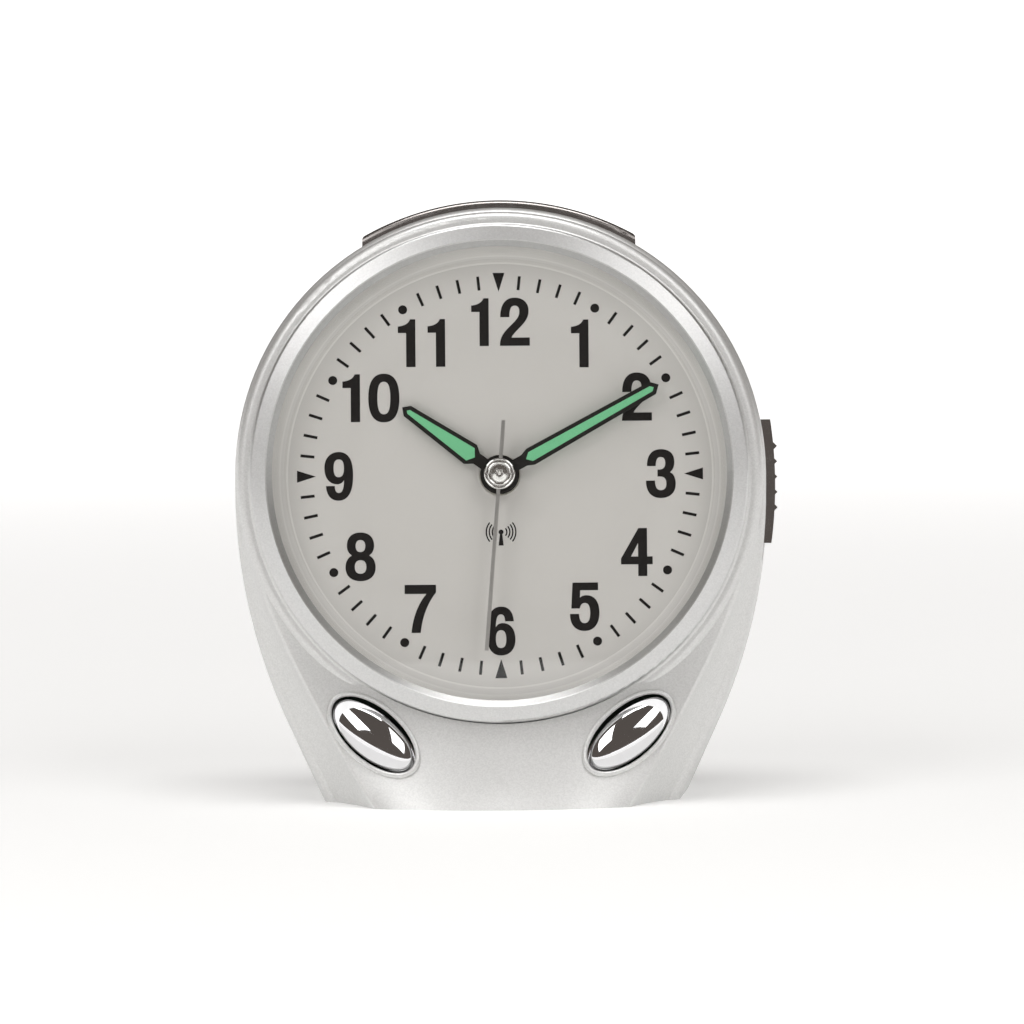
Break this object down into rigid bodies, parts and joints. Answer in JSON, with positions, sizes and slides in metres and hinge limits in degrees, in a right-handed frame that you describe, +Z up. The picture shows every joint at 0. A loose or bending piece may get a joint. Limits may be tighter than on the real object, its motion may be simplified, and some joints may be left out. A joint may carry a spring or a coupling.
{
  "type": "talking table alarm clock",
  "caption": "Analog talking alarm clock with a round dial in an arched leaning case, a top speech bar, front oval buttons, a side alarm slider and a rear loudspeaker and battery door",
  "frame": {"origin": "on the table under the middle of the base, at the foot's resting face", "axes": "+X to the viewer's right, +Y from the dial towards the back, +Z up; the dial faces -Y and leans back 6 degrees"},
  "size_m": [0.1102, 0.0639, 0.12],
  "materials": {
    "case_silver": "satin",
    "plated_trim": "polished",
    "clear_lens": "polished",
    "dial_face": "satin",
    "hand_black": "satin",
    "lume_green": "matte",
    "polished_hand": "polished",
    "key_grey": "satin",
    "movement_plastic": "satin",
    "wheel_plastic": "satin",
    "arbor_steel": "polished",
    "stator_steel": "satin",
    "copper_winding": "satin",
    "board_green": "satin",
    "chip_black": "matte",
    "can_silver": "satin",
    "plunger_black": "satin",
    "screw_steel": "polished",
    "speaker_steel": "satin",
    "ferrite": "matte",
    "cone_paper": "matte",
    "clip_plastic": "satin",
    "lead_red": "satin",
    "cell_jacket": "satin",
    "contact_plated": "polished"
  },
  "bodies": {
    "clock": {"antenna_clips": "clip_plastic", "antenna_coil": "copper_winding", "antenna_rod": "ferrite", "battery_cells": "cell_jacket", "bezel_ring": "case_silver", "board_screws": "screw_steel", "bridge_contact": "contact_plated", "capacitors": "can_silver", "case_screws": "screw_steel", "dial": "dial_face", "front_case": "case_silver", "lead_wires": "lead_red", "lens": "clear_lens", "main_board": "board_green", "motor_coils": "copper_winding", "motor_stators": "stator_steel", "movement_front": "movement_plastic", "movement_plate": "movement_plastic", "movement_rear": "movement_plastic", "movement_screws": "screw_steel", "negative_contact": "contact_plated", "positive_contact": "contact_plated", "push_switches": "chip_black", "radio_chip": "chip_black", "rear_case": "case_silver", "slide_switch": "chip_black", "speaker_cone": "cone_paper", "speaker_frame": "speaker_steel", "speaker_magnet": "ferrite", "speaker_ring": "speaker_steel", "speaker_screws": "screw_steel", "voice_chip": "chip_black", "zone_switch": "chip_black"},
    "minute_train": {"minute_tube": "wheel_plastic", "minute_hand": "hand_black", "minute_lume": "lume_green"},
    "hour_train": {"hour_wheel": "wheel_plastic", "hour_hand": "hand_black", "hour_lume": "lume_green"},
    "motion_train": {"motion_wheel": "wheel_plastic"},
    "minute_step_train": {"minute_step_wheel": "wheel_plastic"},
    "minute_rotor_train": {"minute_rotor": "wheel_plastic"},
    "second_train": {"second_arbor": "arbor_steel", "second_hand": "polished_hand", "second_cap": "polished_hand"},
    "second_step_train": {"second_step_wheel": "wheel_plastic"},
    "second_rotor_train": {"second_rotor": "wheel_plastic"},
    "talk_key": {"talk_bar": "plated_trim", "talk_plunger": "plunger_black"},
    "left_key": {"left_button": "plated_trim", "left_plunger": "plunger_black"},
    "right_key": {"right_button": "plated_trim", "right_plunger": "plunger_black"},
    "outer_back_key": {"outer_key": "key_grey", "outer_key_plunger": "plunger_black"},
    "inner_back_key": {"inner_key": "key_grey", "inner_key_plunger": "plunger_black"},
    "flank_knob": {"side_slider": "plated_trim"},
    "zone_knob": {"zone_slider": "key_grey"},
    "door": {"battery_door": "case_silver"}
  },
  "joints": [
    {"name": "minute_spin", "type": "hinge", "parent": "clock", "child": "minute_train", "pos_m": [0, -0.00383, 0.065], "axis": [0, 0.9945, -0.1045], "continuous": true},
    {"name": "hour_spin", "type": "hinge", "parent": "clock", "child": "hour_train", "pos_m": [0, -0.00383, 0.065], "axis": [0, 0.9945, -0.1045], "continuous": true},
    {"name": "motion_spin", "type": "hinge", "parent": "clock", "child": "motion_train", "pos_m": [0, -0.00282, 0.07455], "axis": [0, 0.9945, -0.1045], "continuous": true},
    {"name": "minute_step_spin", "type": "hinge", "parent": "clock", "child": "minute_step_train", "pos_m": [-0.00883, -0.00436, 0.05993], "axis": [0, 0.9945, -0.1045], "continuous": true},
    {"name": "minute_rotor_spin", "type": "hinge", "parent": "clock", "child": "minute_rotor_train", "pos_m": [-0.0149, -0.00473, 0.05645], "axis": [0, 0.9945, -0.1045], "continuous": true},
    {"name": "second_spin", "type": "hinge", "parent": "clock", "child": "second_train", "pos_m": [0, -0.00383, 0.065], "axis": [0, 0.9945, -0.1045], "continuous": true},
    {"name": "second_step_spin", "type": "hinge", "parent": "clock", "child": "second_step_train", "pos_m": [0.00758, -0.00428, 0.06065], "axis": [0, 0.9945, -0.1045], "continuous": true},
    {"name": "second_rotor_spin", "type": "hinge", "parent": "clock", "child": "second_rotor_train", "pos_m": [0.01277, -0.0046, 0.05767], "axis": [0, 0.9945, -0.1045], "continuous": true},
    {"name": "talk_press", "type": "slide", "parent": "clock", "child": "talk_key", "axis": [0, -0.1045, -0.9945], "range_m": [0, 0.0012], "stiffness_N_per_m": 1500, "springref_m": -0.0008},
    {"name": "left_press", "type": "slide", "parent": "clock", "child": "left_key", "axis": [0, 0.9945, -0.1045], "range_m": [0, 0.001], "stiffness_N_per_m": 1500, "springref_m": -0.0005},
    {"name": "right_press", "type": "slide", "parent": "clock", "child": "right_key", "axis": [0, 0.9945, -0.1045], "range_m": [0, 0.001], "stiffness_N_per_m": 1500, "springref_m": -0.0005},
    {"name": "outer_key_press", "type": "slide", "parent": "clock", "child": "outer_back_key", "axis": [0, -0.9945, 0.1045], "range_m": [0, 0.0006], "stiffness_N_per_m": 2000, "springref_m": -0.0004},
    {"name": "inner_key_press", "type": "slide", "parent": "clock", "child": "inner_back_key", "axis": [0, -0.9945, 0.1045], "range_m": [0, 0.0006], "stiffness_N_per_m": 2000, "springref_m": -0.0004},
    {"name": "alarm_slide", "type": "slide", "parent": "clock", "child": "flank_knob", "axis": [0, -0.1045, -0.9945], "range_m": [0, 0.003]},
    {"name": "zone_slide", "type": "slide", "parent": "clock", "child": "zone_knob", "axis": [1, 0, 0], "range_m": [0, 0.006]},
    {"name": "door_swing", "type": "hinge", "parent": "clock", "child": "door", "pos_m": [0, 0.0277, 0.00141], "axis": [-1, 0, 0], "range_deg": [0, 80]}
  ],
  "couplings": [
    {"joint": "hour_spin", "follows": "minute_spin", "ratio": 0.083333},
    {"joint": "motion_spin", "follows": "minute_spin", "ratio": -0.33333},
    {"joint": "minute_step_spin", "follows": "minute_spin", "ratio": -7.5},
    {"joint": "minute_rotor_spin", "follows": "minute_spin", "ratio": 45},
    {"joint": "second_step_spin", "follows": "second_spin", "ratio": -6},
    {"joint": "second_rotor_spin", "follows": "second_spin", "ratio": 30}
  ]
}
